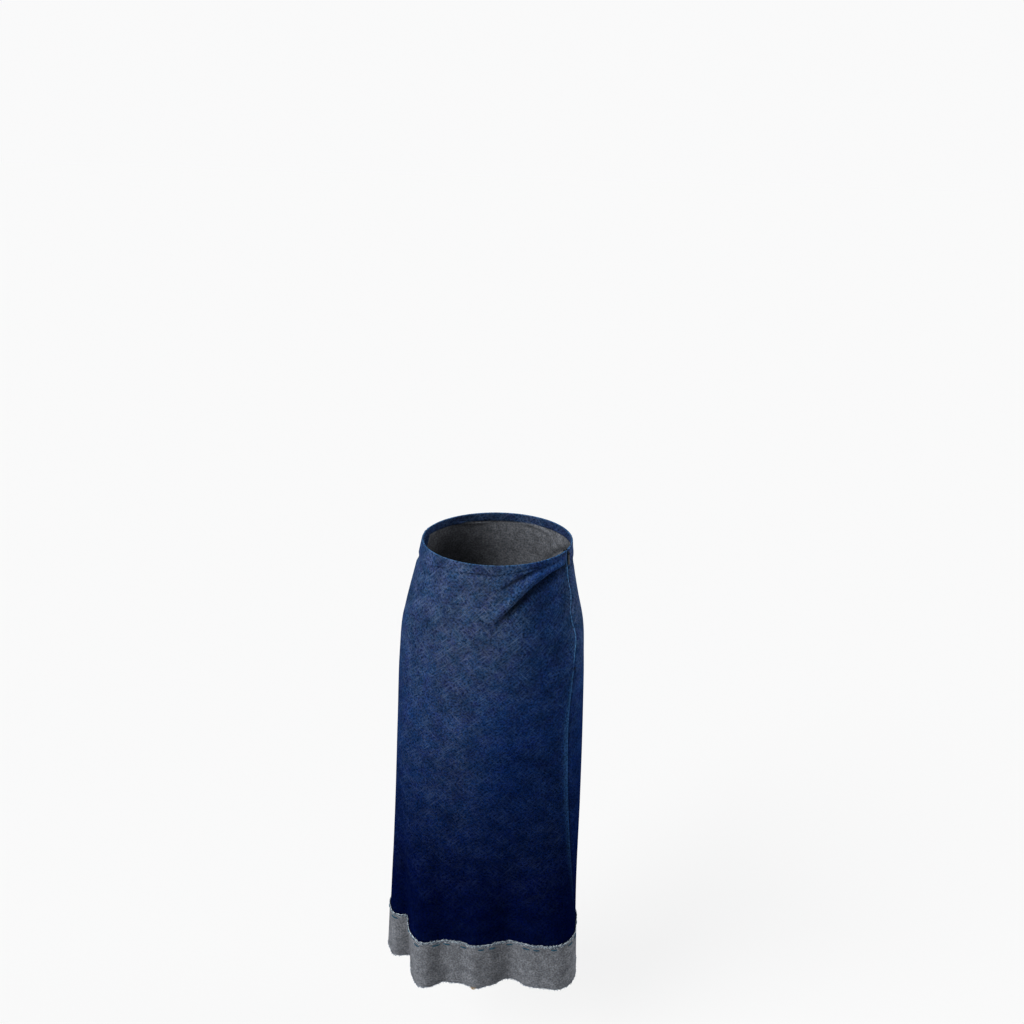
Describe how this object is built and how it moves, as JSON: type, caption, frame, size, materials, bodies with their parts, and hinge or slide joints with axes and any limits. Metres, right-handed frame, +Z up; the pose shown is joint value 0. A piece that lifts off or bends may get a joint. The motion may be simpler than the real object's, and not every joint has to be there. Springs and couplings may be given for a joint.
{
  "type": "denim skirt",
  "caption": "Bias-cut denim midi skirt in a worn pose, with a concealed side zip and a deep raw-edged hem band of the cloth's paler wrong side.",
  "frame": {"origin": "middle of the waist edge, where the wearer's waist holds the skirt", "axes": "+Z up along the wearer, the front faces -Y, the wearer's left is +X"},
  "size_m": [0.3564, 0.2537, 0.8446],
  "materials": {
    "front_denim": "matte",
    "back_denim": "matte",
    "front_band_wrong_side": "matte",
    "back_band_wrong_side": "matte",
    "zip_tape_front_black": "matte",
    "zip_tape_back_black": "matte",
    "zip_slider_black_metal": "satin",
    "zip_pull_tab_black_metal": "satin",
    "zip_stop_black": "satin"
  },
  "bodies": {
    "skirt": {"front_panel": "front_denim", "back_panel": "back_denim", "front_hem_band": "front_band_wrong_side", "back_hem_band": "back_band_wrong_side", "zip_tape_front": "zip_tape_front_black", "zip_tape_back": "zip_tape_back_black", "zip_slider": "zip_slider_black_metal", "zip_stop": "zip_stop_black"},
    "pull_tab": {"zip_pull_tab": "zip_pull_tab_black_metal"}
  },
  "joints": [
    {"name": "pull_tab_swing", "type": "hinge", "parent": "skirt", "child": "pull_tab", "pos_m": [0.11715, -0.02191, -0.00172], "axis": [-0.267, -0.9637, 0.0093], "range_deg": [0, 160]}
  ]
}
